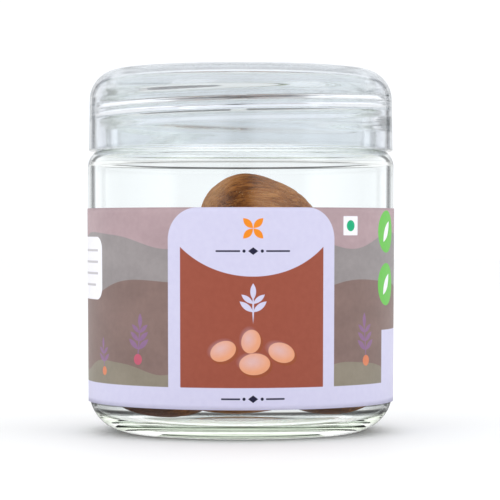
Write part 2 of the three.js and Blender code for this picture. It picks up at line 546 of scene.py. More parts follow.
@dataclass(frozen=True)
class GlassJar:
    """The glass jar: a low domed base, round heel, straight wall, shoulder and neck."""

    room: Room
    wall: float = 1.3
    wall_draft: float = 0.25
    heel_radius: float = 7.75
    floor_z: float = 2.2
    floor_rise: float = 0.8
    inner_heel_radius: float = 4.3
    punt_edge: float = 19.5
    punt_height: float = 0.6
    shoulder_z: float = 51.6
    shoulder_radius: float = 3.7
    inner_shoulder_z: float = 51.9
    inner_shoulder_radius: float = 2.1
    neck_radius: float = 26.6
    mouth_radius: float = 24.4
    mouth_fillet: float = 1.1
    thread: ScrewThread = ScrewThread(z=61.0, first_turn=-0.75, last_turn=1.2)
    columns: int = 256
    rim_step: float = 0.12
    neck_step: float = 0.15
    inner_shoulder_step: float = 0.2
    curve_step: float = 0.4
    finish: ClearFinish = ClearFinish(
        "clear_jar_glass", ior=1.5, roughness=0.0, wall_share=(0.985, 1.0, 1.0), tint=(0.54, 0.65, 0.43),
        density=15.0, lamp_share=(0.93, 0.96, 0.95),
    )

    def wall_radius(self, z: Any) -> Any:
        """The wall's outer radius at heights, or a Signal of one. It draws in evenly down to the heel."""
        slope = self.wall_draft / (self.shoulder_z - self.heel_radius)
        return self.room.radius - (self.shoulder_z - z) * slope

    def outside(self) -> np.ndarray:
        """The outer profile, from the middle of the base up to the top of the rim.

        Returns:
            Its points.
        """
        radius, neck = self.room.radius, self.neck_radius
        heel_r, shoulder_r = radius - self.wall_draft - self.heel_radius, radius - self.shoulder_radius
        shoulder_end = math.acos((neck - shoulder_r) / self.shoulder_radius) / (math.pi / 2)
        lip = (neck - self.mouth_radius) / 2
        outline = Outline().at(0.0, self.punt_height).line(self.punt_edge, 0.0, self.curve_step, eased=True)
        outline.arc(heel_r, self.heel_radius, self.heel_radius, -1, 0, self.curve_step)
        outline.line(radius, self.shoulder_z)
        outline.arc(shoulder_r, self.shoulder_z, self.shoulder_radius, 0, shoulder_end, self.curve_step)
        outline.line(neck, self.room.top - lip, self.neck_step)
        return outline.arc(self.mouth_radius + lip, self.room.top - lip, lip, 0, 1, self.rim_step).points()

    def inside(self) -> np.ndarray:
        """The inner profile, from the top of the rim down to the middle of the inside floor.

        Returns:
            Its points.
        """
        mouth, foot = self.mouth_radius, self.room.radius - self.wall - self.wall_draft
        shoulder, fillet, heel = self.inner_shoulder_radius, self.mouth_fillet, self.inner_heel_radius
        ceiling = self.inner_shoulder_z + shoulder
        shoulder_r, heel_z = self.room.radius - self.wall - shoulder, self.floor_z + heel
        lip = (self.neck_radius - mouth) / 2
        outline = Outline().arc(mouth + lip, self.room.top - lip, lip, 1, 2, self.rim_step)
        outline.line(mouth, ceiling + fillet)
        outline.arc(mouth + fillet, ceiling + fillet, fillet, 2, 3, self.neck_step)
        outline.line(shoulder_r, ceiling)
        outline.arc(shoulder_r, self.inner_shoulder_z, shoulder, 1, 0, self.inner_shoulder_step)
        outline.line(foot, heel_z)
        outline.arc(foot - heel, heel_z, heel, 0, -1, self.curve_step)
        return outline.line(0.0, self.floor_z + self.floor_rise, self.curve_step, eased=True).points()

    def build(self) -> bpy.types.Object:
        """Turns both profiles about the axis and raises the thread on the neck.

        Returns:
            The jar's glass, as one closed wall.
        """
        outer, inner = self.outside(), self.inside()[1:]
        z = outer[:, 1]
        on_neck = (z > self.shoulder_z + self.shoulder_radius / 2) & (z < self.room.top - self.mouth_fillet)
        bears = np.concatenate([on_neck, np.zeros(len(inner))])
        return self.thread.turned("jar_body", np.concatenate([outer, inner]), bears, self.columns)

    def dress(self, piece: bpy.types.Object) -> None:
        """Gives the jar its glass."""
        coat(piece, self.finish.material())


@dataclass(frozen=True)
class ScrewLid:
    """The clear plastic cap, with a round top edge and a thread inside."""

    room: Room
    wall: float = 1.35
    draft: float = 0.15
    top_thickness: float = 1.5
    corner_radius: float = 6.0
    inner_corner_radius: float = 3.6
    lip: float = 0.3
    thread: ScrewThread = ScrewThread(z=63.1, first_turn=-0.95, last_turn=0.7)
    columns: int = 256
    thread_step: float = 0.15
    inner_corner_step: float = 0.3
    corner_step: float = 0.4
    finish: ClearFinish = ClearFinish(
        "clear_lid_plastic", ior=1.49, roughness=0.06, wall_share=(0.865, 0.885, 0.915),
        tint=(0.6, 0.7, 0.75), density=6.0, lamp_share=(0.92, 0.93, 0.94),
    )

    def build(self) -> bpy.types.Object:
        """Turns the profile about the axis and raises the thread inwards on the inner wall.

        Returns:
            The cap, from the middle of its ceiling out, down and back up over its top.
        """
        radius, inner, corner = self.room.radius, self.room.radius - self.wall, self.inner_corner_radius
        ceiling, lip_z = self.room.top - self.top_thickness, self.room.bottom + self.lip
        under = Outline().at(0.0, ceiling).line(inner - corner, ceiling)
        under.arc(inner - corner, ceiling - corner, corner, 1, 0, self.inner_corner_step)
        low = under.line(inner, lip_z, self.thread_step).points()
        over = Outline().arc(inner + self.lip, lip_z, self.lip, 2, 3)
        over.arc(radius - self.lip, lip_z, self.lip, 3, 4)
        corner_r, corner_z = radius - self.draft - self.corner_radius, self.room.top - self.corner_radius
        over.line(radius - self.draft, corner_z)
        over.arc(corner_r, corner_z, self.corner_radius, 0, 1, self.corner_step)
        high = over.line(0.0, self.room.top).points()
        bears = np.concatenate([np.where(low[:, 0] > inner - 1e-6, -1.0, 0.0), np.zeros(len(high))])
        return self.thread.turned("screw_lid", np.concatenate([low, high]), bears, self.columns)

    def dress(self, piece: bpy.types.Object) -> None:
        """Gives the lid its plastic."""
        coat(piece, self.finish.material())


# ---- The label ----


@dataclass
class Sheet:
    """The film laid flat, in millimetres across from the front and up from the floor, and its print.

    Each shape is a signed distance, under 0 inside. A colour is filled up to its edge.
    """

    tree: Tree
    flat: bpy.types.Node
    printed: Value

    def local(self, at: Pair, heading: float = 0.0, size: Pair = (1.0, 1.0)) -> bpy.types.Node:
        """The sheet's places as seen from a shape.

        Args:
            at: The shape's middle.
            heading: The turn of its length from across, in degrees.
            size: The length and width that count as 1.

        Returns:
            A vector: how far along and how far aside, in those sizes.
        """
        return self.tree.node("Mapping", {"vector_type": "TEXTURE"}, {
            "Vector": self.flat,
            "Location": (*at, 0.0),
            "Rotation": (0.0, 0.0, math.radians(heading)),
            "Scale": (*size, 1.0),
        })

    def _vector(self, operation: str, *values: Value) -> bpy.types.Node:
        """Adds a Vector Math node that makes a vector."""
        return self.tree.node("VectorMath", {"operation": operation}, dict(enumerate(values)))

    def _number(self, operation: str, *values: Value) -> Signal:
        """Adds a Vector Math node that makes a number."""
        return Signal(self.tree, self._vector(operation, *values).outputs["Value"])

    def _past_one(self, total: Signal, reach: float) -> Signal:
        """How far a scaled length is past 1, in millimetres: (total - 1) times the reach."""
        return self.tree.math("MULTIPLY_ADD", total, reach, -reach)

    def box(self, at: Pair, half: Pair, corner: float = 0.15) -> Signal:
        """A rectangle with round corners: the distance to a smaller one, less the corners' radius.

        Args:
            at: Its middle.
            half: Half its width and height.
            corner: The corners' radius.

        Returns:
            The signed distance.
        """
        size = self._vector("ABSOLUTE", self.local(at))
        past = self._vector("SUBTRACT", size, (half[0] - corner, half[1] - corner, 0.0))
        return self._number("LENGTH", self._vector("MAXIMUM", past, (0.0, 0.0, 0.0))) - corner

    def oval(self, at: Pair, half: Pair, heading: float = 0.0) -> Signal:
        """An ellipse: the length of its scaled place, less 1, times its narrower half."""
        return self._past_one(self._number("LENGTH", self.local(at, heading, half)), min(half))

    def leaf(self, at: Pair, half: Pair, heading: float) -> Signal:
        """A pointed leaf between two parabolas: |aside| + along^2 - 1, times its half width.

        The sum is the dot product of (|along|, |aside|) and (|along|, 1).

        Args:
            at: Its middle.
            half: Half its length and width.
            heading: The turn of its length from across, in degrees.

        Returns:
            The signed distance.
        """
        size = self._vector("ABSOLUTE", self.local(at, heading, half))
        partner = self._vector("MULTIPLY_ADD", size, (1.0, 0.0, 0.0), (0.0, 1.0, 0.0))
        return self._past_one(self._number("DOT_PRODUCT", size, partner), half[1])

    def diamond(self, at: Pair, half: Pair) -> Signal:
        """A diamond: |along| + |aside| - 1, times its narrower half."""
        size = self._vector("ABSOLUTE", self.local(at, 0.0, half))
        return self._past_one(self._number("DOT_PRODUCT", size, (1.0, 1.0, 0.0)), min(half))

    def ink(self, colour: Triple, *shapes: Signal, strength: float = 1.0, softness: float = 0.1) -> None:
        """Prints shapes in one colour over what is printed so far.

        Args:
            colour: The colour.
            *shapes: The shapes, which may cross.
            strength: 1 for a full print, less for a thin one.
            softness: The width of the print's edge.
        """
        distance = shapes[0]
        for shape in shapes[1:]:
            distance = distance.least(shape)
        share = self.tree.math("MULTIPLY_ADD", distance, -1.0 / softness, 0.5, clamp=True)
        share = share * strength if strength < 1.0 else share
        self.printed = self.tree.mix(share, self.printed, colour)


@dataclass(frozen=True)
class Sprig:
    """A printed twig with paired leaves, a leaf at its tip and a round fruit at its foot.

    The leaf's width, the tip leaf's halves and height and the fruit's measures are shares of the
    leaves' length.
    """

    foot: Pair
    height: float
    pairs: int
    leaf_length: float
    lean: float = 0.0
    spread: float = 38.0
    shrink: float = 0.35
    half_stem: float = 0.16
    leaf_width: float = 0.34
    tip_half: Pair = (0.42, 0.15)
    tip_above: float = 0.2
    fruit_below: float = 0.1
    fruit_radius: float = 0.3

    def twig(self, sheet: Sheet) -> list[Signal]:
        """The twig and its leaves.

        The leaves are pairs at even heights, each pair smaller than the one below, and one at the
        tip. The twig itself is a very slim oval from the foot to the tip.

        Args:
            sheet: The sheet to draw on.

        Returns:
            The signed distance of each.
        """
        across, up = self.foot
        length = self.leaf_length
        middle = (across + self.lean / 2, up + self.height / 2)
        half = (math.hypot(self.height, self.lean) / 2, self.half_stem)
        shapes = [sheet.oval(middle, half, math.degrees(math.atan2(self.height, self.lean)))]
        for index in range(self.pairs):
            share = (index + 1) / (self.pairs + 1)
            reach = length * (1.0 - self.shrink * share) / 2
            for side in (-1, 1):
                heading = 90.0 - side * (90.0 - self.spread)
                turn = math.radians(heading)
                at = (across + self.lean * share + reach * math.cos(turn),
                      up + self.height * share + reach * math.sin(turn))
                shapes.append(sheet.leaf(at, (reach, reach * self.leaf_width), heading))
        tip = (across + self.lean, up + self.height + length * self.tip_above)
        tip_half = (length * self.tip_half[0], length * self.tip_half[1])
        return [*shapes, sheet.leaf(tip, tip_half, 90.0)]

    def fruit(self, sheet: Sheet) -> Signal:
        """The signed distance of the fruit."""
        at = (self.foot[0], self.foot[1] - self.leaf_length * self.fruit_below)
        return sheet.oval(at, (self.leaf_length * self.fruit_radius,) * 2)


@dataclass(frozen=True)
class LabelInks:
    """The colours of the print, as they look in plain light."""

    lilac: Triple = linear(206, 203, 228)
    red_earth: Triple = linear(152, 78, 60)
    dusk: Triple = linear(174, 150, 154)
    far_hill: Triple = linear(147, 140, 140)
    near_hill: Triple = linear(130, 107, 101)
    meadow: Triple = linear(139, 130, 115)
    white: Triple = linear(238, 236, 242)
    navy: Triple = linear(30, 28, 56)
    orange: Triple = linear(236, 138, 32)
    plum: Triple = linear(142, 104, 150)
    rose: Triple = linear(196, 84, 110)
    apricot: Triple = linear(222, 128, 88)
    nut: Triple = linear(226, 158, 122)
    nut_shade: Triple = linear(150, 78, 50)
    dot_green: Triple = linear(20, 168, 118)
    badge_green: Triple = linear(104, 190, 76)
    back: Triple = linear(222, 220, 226)


@dataclass(frozen=True)
class WrapLabel:
    """The printed film wrapped round the jar's wall, with a gap of bare glass at the back.

    Places on the print are (across, up), and so are the halves of its shapes. A rule or a line of
    the tab is its height and half its length. A nut's shade and glow stand that far off it.
    """

    room: Room
    jar: GlassJar
    thickness: float = 0.12
    gap: float = 0.05
    seam: float = 8.0
    columns: int = 360
    rows: int = 40
    roughness: float = 0.42
    ior: float = 1.46
    gloss: float = 0.25
    grain_scale: float = 900.0
    grain_share: float = 0.12
    wash_scale: Triple = (90.0, 90.0, 160.0)
    wash_share: float = 0.5
    inks: LabelInks = LabelInks()
    panel_middle: float = 2.4
    panel_half: float = 16.4
    panel_margin: float = 1.6
    panel_corner: float = 6.0
    field_half: float = 13.9
    field_top: float = 36.2
    field_dip: float = 5.5
    band_top: float = 10.1
    flower_z: float = 39.6
    petal: Pair = (1.3, 0.62)
    petal_away: float = 1.35
    nut_shade: Pair = (0.35, -0.4)
    nut_rim: float = 0.1
    nut_glow: Pair = (-0.5, 0.5)
    glow_share: Pair = (0.62, 0.55)
    rules: tuple[Pair, ...] = ((35.4, 7.0), (8.05, 6.0))
    rule_thickness: float = 0.32
    rule_gap: float = 2.4
    rule_diamond: Pair = (0.95, 0.7)
    rule_dot: float = 0.3
    dot_away: float = 1.7
    sprig_z: float = 22.6
    tab: Pair = (-40.4, 32.0)
    tab_half: Pair = (8.0, 6.0)
    tab_corner: float = 2.4
    tab_lines: tuple[Pair, ...] = ((35.4, 6.0), (33.2, 6.0), (31.0, 6.0), (28.8, 4.8))
    line_thickness: float = 0.44
    notice: Pair = (43.7, 12.0)
    notice_half: Pair = (10.0, 8.2)
    sign: Pair = (22.9, 40.1)
    sign_half: Pair = (1.9, 1.8)
    sign_dot: float = 1.05
    badges: tuple[Pair, ...] = ((36.0, 39.0), (36.0, 28.9))
    badge_radius: float = 4.05
    badge_leaf: Pair = (2.5, 0.95)
    badge_heading: float = 52.0

    def build(self) -> bpy.types.Object:
        """Carries the film's thin section round the wall: up the outer face and down the inner one.

        Returns:
            The film, closed at both ends.
        """
        up = np.linspace(self.room.bottom, self.room.top, self.rows)
        z = np.concatenate([up, up[::-1]])[None, :]
        proud = np.repeat([self.thickness, 0.0], self.rows)[None, :]
        reach = math.pi - math.radians(self.seam) / 2
        angle = np.linspace(-reach, reach, self.columns)[:, None]
        grid = around(self.jar.wall_radius(z) + self.gap + proud, z, angle)
        section = grid.shape[1]
        k = np.arange(self.rows - 1)
        cap = np.stack([k, k + 1, section - 2 - k, section - 1 - k], axis=1)
        last_cap = cap[:, ::-1] + (self.columns - 1) * section
        return make_piece("label_film", grid.reshape(-1, 3), [quads(self.columns, section), cap, last_cap])

    def dress(self, piece: bpy.types.Object) -> None:
        """Prints the film: its front, which bears the panel, and the rest, which bears the small marks.

        A face belongs to the front by the arc, from the middle of the front, of its own middle.

        Args:
            piece: The film.
        """
        mesh = piece.data
        middles = np.empty(3 * len(mesh.polygons))
        mesh.polygons.foreach_get("center", middles)
        x, y, _ = middles.reshape(-1, 3).T
        arc = np.arctan2(x, -y) * self.jar.room.radius
        beyond = np.abs(arc - self.panel_middle) > self.panel_half + self.panel_margin
        coat(piece, self._film("printed_label_front", self._panel),
             self._film("printed_label_sides", self._marks))
        mesh.polygons.foreach_set("material_index", beyond.astype(np.int32))
        mesh.update()

    def _film(self, name: str, print_on: Callable[[Sheet], None]) -> bpy.types.Material:
        """Builds the film's finish: fields of colour on the outer face, and a plain pale inner face.

        Args:
            name: The material's name.
            print_on: Prints this stretch's own shapes over the ground that the whole film shares.

        Returns:
            The material.
        """
        material, tree = new_material(name)
        x, y, z = tree.split(tree.place())
        arc = tree.math("ARCTAN2", x, y * -1.0) * (self.jar.room.radius + self.gap + self.thickness)
        up = z / MM
        sheet = Sheet(tree, tree.node("CombineXYZ", inputs={0: arc, 1: up, 2: 0.0}), self.inks.dusk)
        self._landscape(sheet, arc, up)
        sheet.ink(self.inks.lilac, up - self.band_top)
        print_on(sheet)
        proud = (x * x + y * y).root() / MM - self.jar.wall_radius(up) - (self.gap + self.thickness / 2)
        grain = tree.mix(tree.noise(tree.place(), (self.grain_scale,) * 3, 2.0), (0.0,) * 3, (1.0,) * 3)
        outer = tree.mix(self.grain_share, sheet.printed, grain, "SOFT_LIGHT")
        body = tree.node("BsdfPrincipled", inputs={
            "Base Color": tree.mix(proud.rise(-0.01, 0.01), self.inks.back, outer),
            "Roughness": self.roughness,
            "IOR": self.ior,
            "Specular IOR Level": self.gloss,
        })
        tree.node("OutputMaterial", inputs={"Surface": body})
        return material

    def _landscape(self, sheet: Sheet, across: Signal, up: Signal) -> None:
        """Prints the ground: a dusk sky over two rolling bands and a low meadow.

        Each band's top is a height plus one slow wave and one quick one round the jar.

        Args:
            sheet: The sheet, which has the sky's colour.
            across: Its places across.
            up: Its places up.
        """
        inks, tree = self.inks, sheet.tree
        turns = across / (self.jar.room.radius * TURN)
        bands = [
            (37.6, 1.5, 5.0, 0.15, inks.far_hill),
            (28.4, 1.8, 4.0, 0.62, inks.near_hill),
            (13.6, 1.1, 7.0, 0.35, inks.meadow),
        ]
        for height, swell, waves, phase, ink in bands:
            angle = (turns * waves + phase) * TURN
            slow, quick = tree.math("SINE", angle), tree.math("SINE", angle * 2.0 + 1.0)
            sheet.ink(ink, up - (slow * swell + quick * (swell / 4) + height))
        wash = tree.noise(tree.place(), self.wash_scale, 4.0)
        shaded = tree.mix(wash.rise(0.3, 0.7), (0.42,) * 3, (0.56,) * 3)
        sheet.printed = tree.mix(self.wash_share, sheet.printed, shaded, "OVERLAY")

    def _panel(self, sheet: Sheet) -> None:
        """Prints the pale arch with its red-earth field, whose top edge is a bowl, and the ornaments.

        Args:
            sheet: The sheet.
        """
        middle, half = self.panel_middle, self.field_half
        arch_half = (self.room.top - self.room.bottom) / 2 + self.panel_corner
        arch = (middle, self.room.top - arch_half)
        sheet.ink(self.inks.lilac, sheet.box(arch, (self.panel_half, arch_half), self.panel_corner))
        half_height = (self.field_top - self.band_top) / 2
        square = sheet.box((middle, self.band_top + half_height), (half, half_height))
        bowl = (half ** 2 + self.field_dip ** 2) / (2 * self.field_dip)
        scoop = sheet.oval((middle, self.field_top - self.field_dip + bowl), (bowl, bowl))
        sheet.ink(self.inks.red_earth, square.most(scoop * -1.0))
        self._ornaments(sheet)

    def _ornaments(self, sheet: Sheet) -> None:
        """Prints a flower on the arch, a sprig and four nuts on the field, and two rules.

        Args:
            sheet: The sheet.
        """
        inks, middle = self.inks, self.panel_middle
        for heading in (45.0, 135.0, 225.0, 315.0):
            away = math.radians(heading)
            at = (middle + self.petal_away * math.cos(away), self.flower_z + self.petal_away * math.sin(away))
            sheet.ink(inks.orange, sheet.leaf(at, self.petal, heading))
        sheet.ink(inks.lilac, *Sprig((middle, self.sprig_z), 4.6, 2, 3.6).twig(sheet))
        nuts = [
            (-5.6, 16.9, 2.5, 1.8, 24.0),
            (5.4, 16.6, 2.6, 1.8, -18.0),
            (-0.4, 18.7, 2.2, 1.8, 80.0),
            (0.3, 14.5, 2.9, 2.0, 4.0),
        ]
        for across, up, length, width, heading in nuts:
            x, rim = middle + across, self.nut_rim
            below = (x + self.nut_shade[0], up + self.nut_shade[1])
            sheet.ink(inks.nut_shade, sheet.oval(below, (length + rim, width + rim), heading))
            sheet.ink(inks.nut, sheet.oval((x, up), (length, width), heading))
            bright = (x + self.nut_glow[0], up + self.nut_glow[1])
            half = (length * self.glow_share[0], width * self.glow_share[1])
            sheet.ink(inks.lilac, sheet.oval(bright, half, heading), strength=0.35, softness=1.6)
        for up, half in self.rules:
            self._rule(sheet, up, half)

    def _rule(self, sheet: Sheet, up: float, half: float) -> None:
        """Prints a fine rule, broken in the middle by a diamond between two dots.

        Args:
            sheet: The sheet.
            up: Its height.
            half: Half its length.
        """
        middle, bar = self.panel_middle, (half - self.rule_gap) / 2
        shapes = [sheet.diamond((middle, up), self.rule_diamond)]
        for side in (-1, 1):
            at = (middle + side * (self.rule_gap + bar), up)
            shapes.append(sheet.box(at, (bar, self.rule_thickness / 2)))
            shapes.append(sheet.oval((middle + side * self.dot_away, up), (self.rule_dot,) * 2))
        sheet.ink(self.inks.navy, *shapes)

    def _marks(self, sheet: Sheet) -> None:
        """Prints what stands on the side fields: white boxes, a green dot, two badges and sprigs.

        Args:
            sheet: The sheet.
        """
        inks = self.inks
        tab = sheet.box(self.tab, self.tab_half, self.tab_corner)
        sheet.ink(inks.white, tab, sheet.box(self.sign, self.sign_half))
        sheet.ink(inks.lilac, sheet.box(self.notice, self.notice_half))
        for up, half in self.tab_lines:
            line = sheet.box((self.tab[0], up), (half, self.line_thickness / 2))
            sheet.ink(inks.far_hill, line, strength=0.6)
        sheet.ink(inks.dot_green, sheet.oval(self.sign, (self.sign_dot,) * 2))
        for badge in self.badges:
            sheet.ink(inks.badge_green, sheet.oval(badge, (self.badge_radius,) * 2))
            sheet.ink(inks.white, sheet.leaf(badge, self.badge_leaf, self.badge_heading))
        sprigs = [
            (Sprig((-21.0, 15.4), 6.2, 3, 3.4, 0.6), inks.rose),
            (Sprig((-31.5, 12.8), 4.4, 2, 2.8, -0.5), inks.apricot),
            (Sprig((27.6, 15.0), 6.6, 3, 3.4, -0.6), inks.apricot),
            (Sprig((66.0, 15.0), 6.2, 3, 3.4, 0.4), inks.rose),
            (Sprig((-66.0, 14.4), 6.4, 3, 3.4, 0.2), inks.apricot),
        ]
        for sprig, fruit_ink in sprigs:
            sheet.ink(inks.plum, *sprig.twig(sheet), strength=0.75)
            sheet.ink(fruit_ink, sprig.fruit(sheet), strength=0.85)


# ---- The nutmegs ----


@dataclass(frozen=True)
class Waves:
    """A rolling field in space: the sum of sines whose directions, lengths and phases are drawn once."""

    seed: int
    length: float
    stretch: float
    count: int = 28

    def field(self, places: np.ndarray) -> np.ndarray:
        """The sum at each place, brought to a spread of about 1.

        Each wave runs in a random direction, whose share along X is divided by the stretch, so the
        field changes that much more slowly along X. Its length is the mean one times 0.6 to 1.6.

        Args:
            places: Points, in the last axis.

        Returns:
            A number for each.
        """
        draw = np.random.default_rng(self.seed)
        direction = draw.normal(size=(self.count, 3))
        direction /= np.linalg.norm(direction, axis=1, keepdims=True)
        direction[:, 0] /= self.stretch
        length = self.length * draw.uniform(0.6, 1.6, self.count)
        phase = draw.uniform(0.0, TURN, self.count)
        angle = places @ (direction * (TURN / length[:, None])).T + phase
        return np.sin(angle).sum(axis=-1) * math.sqrt(2.0 / self.count)


@dataclass(frozen=True)
class Furrows:
    """Furrows that follow the zero lines of a rolling field."""

    length: float
    stretch: float
    width: float
    depth: float

    def over(self, seed: int, places: np.ndarray) -> np.ndarray:
        """Their strength at each place, from 0 to 1: exp(-(field / width)^2)."""
        return np.exp(-(Waves(seed, self.length, self.stretch).field(places) / self.width) ** 2)


@dataclass(frozen=True)
class Swell:
    """A low bulge or hollow on a kernel, round the place that faces so many degrees up from +X."""

    facing: float
    height: float
    spread: float
    front: float = 0.25

    def over(self, facings: np.ndarray) -> np.ndarray:
        """How far it lifts the skin: height x exp(-(a / spread)^2).

        The angle a lies between where a point of the skin faces and the swell's middle, which faces
        a quarter as far to the front as it does across it.

        Args:
            facings: Unit vectors out of the kernel's middle, in the last axis.

        Returns:
            Distances in millimetres.
        """
        up = math.radians(self.facing)
        middle = np.array([math.cos(up), -self.front, math.sin(up)]) / math.hypot(1.0, self.front)
        away = np.arccos(np.clip(facings @ middle, -1.0, 1.0))
        return self.height * np.exp(-(away / self.spread) ** 2)


@dataclass(frozen=True)
class Nutmeg:
    """One whole nutmeg kernel: an ovoid with low ribs, a web of furrows, and a scar at its blunt end."""

    node: str
    at: Triple
    heading: float
    rise: float
    roll: float
    half_length: float
    half_width: float
    seed: int
    # Colour level; for kernels lying in shade on the jar's floor it is set low as painted shade.
    tone_and_shade: float = 0.5
    swells: tuple[Swell, ...] = ()
    level_grain: bool = False
    taper: float = 0.09
    ribs: int = 5
    rib_depth: float = 0.03
    rib_twist: float = 0.6
    web: Furrows = Furrows(3.6, 3.6, 0.3, 0.11)
    creases: Furrows = Furrows(1.7, 4.5, 0.32, 0.06)
    hill_length: float = 9.0
    hill_depth: float = 0.1
    groove_width: float = 0.09
    groove_wave: float = 0.15
    groove_depth: float = 0.2
    pit_depth: float = 0.5
    pit_edge: Pair = (-0.955, -0.995)
    scar_height: float = 0.12
    scar_rim: Pair = (0.93, 0.96)
    scar_hollow: Pair = (0.985, 0.965)
    furrow_shares: Triple = (0.6, 0.5, 0.6)
    tone_length: float = 11.0
    tone_swing: float = 0.3
    rings: int = 150
    columns: int = 200

    def turn(self) -> np.ndarray:
        """The turning of the kernel's own axes: its roll, then its rise, then its heading."""
        return np.array(Euler([math.radians(a) for a in (self.roll, -self.rise, self.heading)]).to_matrix())

    def relief(self, grain: np.ndarray, x: np.ndarray, turn: np.ndarray) -> tuple[np.ndarray, np.ndarray]:
        """How deep the skin lies below the plain ovoid.

        There is a broad web of furrows and a fine one. A groove runs from the scar at the blunt end
        to the pit at the other, along one side, with a slight wave: exp(-(angle off it / width)^2).

        Args:
            grain: The ovoid's points in millimetres, with the grain along X.
            x: Their share along the kernel's half length, 1 at the blunt end.
            turn: Their angle about its length.

        Returns:
            The depth in millimetres, and the furrows' strength from 0 to 1.
        """
        web = self.web.over(self.seed, grain)
        creases = self.creases.over(self.seed + 1, grain)
        hills = 1 + 0.5 * Waves(self.seed + 2, self.hill_length, 1.5).field(grain)
        off = np.angle(np.exp(1j * (turn - self.groove_wave * np.sin(3 * x))))
        groove = np.exp(-(off / self.groove_width) ** 2) * (1 - x ** 8)
        pit = smooth(x, *self.pit_edge)
        scar = smooth(x, *self.scar_rim) * smooth(x, *self.scar_hollow)
        depth = self.web.depth * web + self.creases.depth * creases + self.hill_depth * hills
        depth += self.groove_depth * groove + self.pit_depth * pit - self.scar_height * scar
        dark = sum(share * part for share, part in zip(self.furrow_shares, (web, creases, groove)))
        return depth, np.clip(dark, 0.0, 1.0)

    def build(self) -> bpy.types.Object:
        """Shapes the kernel on a grid of how far along and how far round.

        A point starts on the unit ball, its width takes the taper and the ribs, and it then sinks
        along the ovoid's normal by the relief and rises by the swells. Its tone is the one given,
        give or take a slow rolling field; for kernels that lie in shade on the jar's floor the given
        tone is set low as painted shade.

        Returns:
            The kernel, with the attributes that its finish reads.
        """
        u = np.linspace(0.0, math.pi, self.rings)[:, None]
        v = np.linspace(0.0, TURN, self.columns, endpoint=False)[None, :]
        x, turn = np.broadcast_arrays(np.cos(u), v)
        ribs = 0.5 - 0.5 * np.cos(self.ribs * turn + self.rib_twist * x)
        width = self.half_width * (1 - self.taper * (1 - x) / 2 - self.rib_depth * ribs)
        ball = np.stack([x, np.sin(u) * np.cos(turn), np.sin(u) * np.sin(turn)], axis=-1)
        place = ball * np.stack([np.full_like(x, self.half_length), width, width], axis=-1)
        normal = place / np.array([self.half_length, self.half_width, self.half_width]) ** 2
        normal /= np.linalg.norm(normal, axis=-1, keepdims=True)
        turning = self.turn().T
        grain = place @ turning if self.level_grain else place
        depth, furrow = self.relief(grain, x, turn)
        lift = sum(swell.over(ball @ turning) for swell in self.swells) - depth
        grid = (place + normal * lift[..., None]) @ turning + np.array(self.at)
        piece = turned_piece(self.node.replace("nutmeg", "whole_nutmeg"), grid)
        shift = np.random.default_rng(self.seed).uniform(-500.0, 500.0, 3)
        tone_and_shade = self.tone_and_shade + self.tone_swing * Waves(self.seed + 3, self.tone_length, 1.2).field(grain)
        self._store(piece, "grain_place", grain + shift)
        self._store(piece, "skin", np.stack([x, furrow, tone_and_shade], axis=-1))
        return piece

    @staticmethod
    def _store(piece: bpy.types.Object, name: str, grid: np.ndarray) -> None:
        """Keeps a vector for each point of a turned piece, in the order of its points."""
        attribute = piece.data.attributes.new(name, "FLOAT_VECTOR", "POINT")
        attribute.data.foreach_set("vector", ring_points(grid).astype(np.float32).ravel())


@dataclass(frozen=True)
class NutmegFinish:
    """The dry, dull, finely wrinkled skin of a shelled nutmeg."""

    light: Triple = linear(208, 146, 84)
    middle: Triple = linear(172, 104, 42)
    dark: Triple = linear(86, 42, 8)
    dust: Triple = linear(224, 188, 138)
    stops: Triple = (0.26, 0.52, 0.8)
    streak_scale: Triple = (0.17, 1.6, 1.6)
    fibre_scale: Triple = (0.7, 6.0, 6.0)
    speck_scale: Triple = (1.6, 4.2, 4.2)
    speck_edge: Pair = (0.68, 0.74)
    end_edge: Pair = (0.45, 1.0)
    level: float = -0.36
    streak_share: float = 0.95
    fibre_share: float = 0.5
    tone_share: float = 0.34
    furrow_share: float = 0.4
    end_share: float = 0.3
    dust_share: float = 0.6
    roughness: float = 0.62
    ior: float = 1.45
    gloss: float = 0.2
    grain_depth: float = 0.00035

    def material(self) -> bpy.types.Material:
        """Builds the material.

        Colour runs from dark to light by streaks drawn out along the kernel, darker in furrows, with
        a paler blunt end and a few specks of pale dust.

        Returns:
            The material.
        """
        material, tree = new_material("nutmeg_skin")
        own = tree.stored("grain_place")
        end, furrow, tone_and_shade = tree.split(tree.stored("skin"))
        streaks = tree.noise(own, self.streak_scale, 5.0, 0.6)
        fibres = tree.noise(own, self.fibre_scale, 4.0, 0.6)
        specks = tree.noise(own, self.speck_scale, 2.0).rise(*self.speck_edge)
        level = streaks * self.streak_share + fibres * self.fibre_share + tone_and_shade * self.tone_share + self.level
        stops = list(zip(self.stops, (self.dark, self.middle, self.light)))
        ramp = tree.node("ValToRGB", {"stops": stops}, {0: level.clamped()})
        skin = tree.mix(furrow * self.furrow_share, ramp, self.dark)
        skin = tree.mix(end.rise(*self.end_edge) * self.end_share, skin, self.light)
        grain = {"Distance": self.grain_depth, "Height": fibres * 0.6 + streaks * 0.4}
        body = tree.node("BsdfPrincipled", inputs={
            "Base Color": tree.mix(specks * self.dust_share, skin, self.dust),
            "Roughness": self.roughness,
            "IOR": self.ior,
            "Specular IOR Level": self.gloss,
            "Normal": tree.node("Bump", inputs=grain),
        })
        tree.node("OutputMaterial", inputs={"Surface": body})
        return material


# The top kernel's outline: it shows whole through the glass, and isn't an even oval.
TOP_SWELLS = (Swell(155, -0.45, 0.62), Swell(111, 0.36, 0.52), Swell(33, 0.51, 0.8), Swell(73, -0.42, 0.26))


